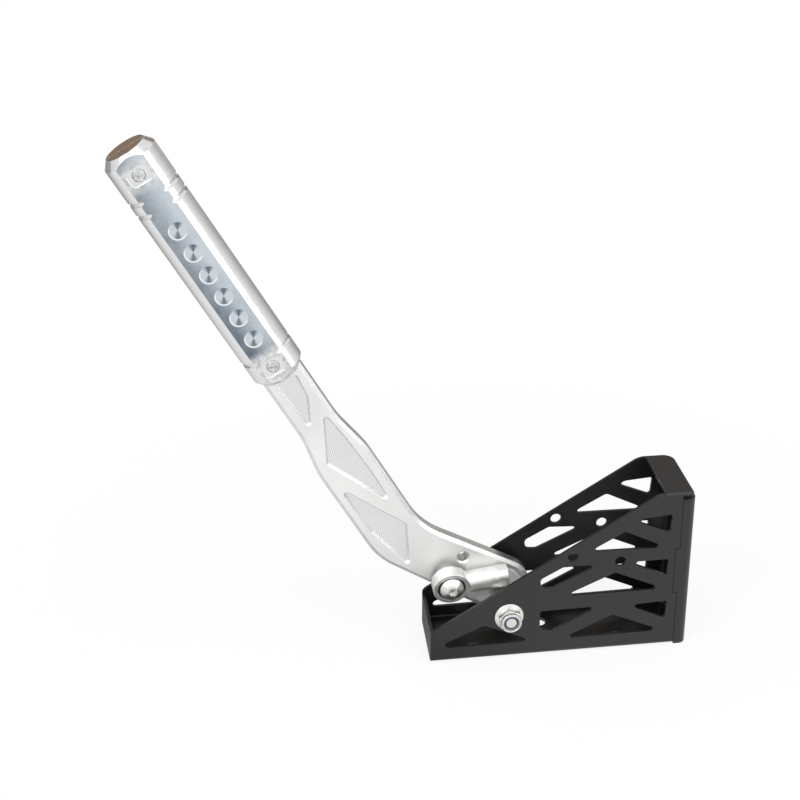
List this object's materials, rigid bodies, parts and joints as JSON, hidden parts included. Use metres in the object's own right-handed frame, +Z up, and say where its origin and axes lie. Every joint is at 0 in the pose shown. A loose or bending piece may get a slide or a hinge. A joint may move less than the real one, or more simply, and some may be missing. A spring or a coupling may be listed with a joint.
{
  "type": "parking brake lever",
  "caption": "Upright hand lever with a milled alloy arm and turned grip, pivoting in a folded lattice bracket, with a rod end that works a hydraulic cylinder.",
  "frame": {"origin": "middle of the base's bolt holes, on the underside of the bracket", "axes": "+X along the base towards the cylinder's plate, +Y across the bracket to the side the lever sits on, +Z up from the base"},
  "size_m": [0.3367, 0.067, 0.3295],
  "materials": {
    "black_paint": "semi-gloss black powder coat",
    "satin_alloy": "bead-blasted and milled",
    "polished_alloy": "turned and polished",
    "bright_zinc": "bright zinc plate",
    "bronze": "plain bearing bronze",
    "dark_liner": "dark woven liner",
    "nylon": "pale translucent nylon"
  },
  "bodies": {
    "bracket": {"bracket_side_near": "black_paint", "bracket_side_far": "black_paint", "bracket_front": "black_paint", "bracket_back": "black_paint", "bracket_top": "black_paint", "pivot_bolt": "bright_zinc", "pivot_nut": "bright_zinc", "pivot_nut_ring": "nylon", "pivot_spacer_near": "bright_zinc", "pivot_spacer_far": "bright_zinc"},
    "lever": {"lever_arm": "satin_alloy", "grip_half_near": "polished_alloy", "grip_half_far": "polished_alloy", "grip_screws": "bright_zinc", "pivot_bush": "bronze", "thrust_washer_near": "nylon", "thrust_washer_far": "nylon", "rod_end_screw": "bright_zinc", "rod_end_washer": "bright_zinc", "rod_end_ball": "bright_zinc"},
    "rod_end": {"rod_end_body": "bright_zinc", "rod_end_race": "dark_liner"}
  },
  "joints": [
    {"name": "lever_pull", "type": "hinge", "parent": "bracket", "child": "lever", "pos_m": [-0.0259, 0, 0.0296], "axis": [0, 1, 0], "range_deg": [-17, 50]},
    {"name": "rod_end_swivel", "type": "hinge", "parent": "lever", "child": "rod_end", "pos_m": [-0.05774, 0, 0.03934], "axis": [0, -1, 0], "range_deg": [0, 110]}
  ]
}
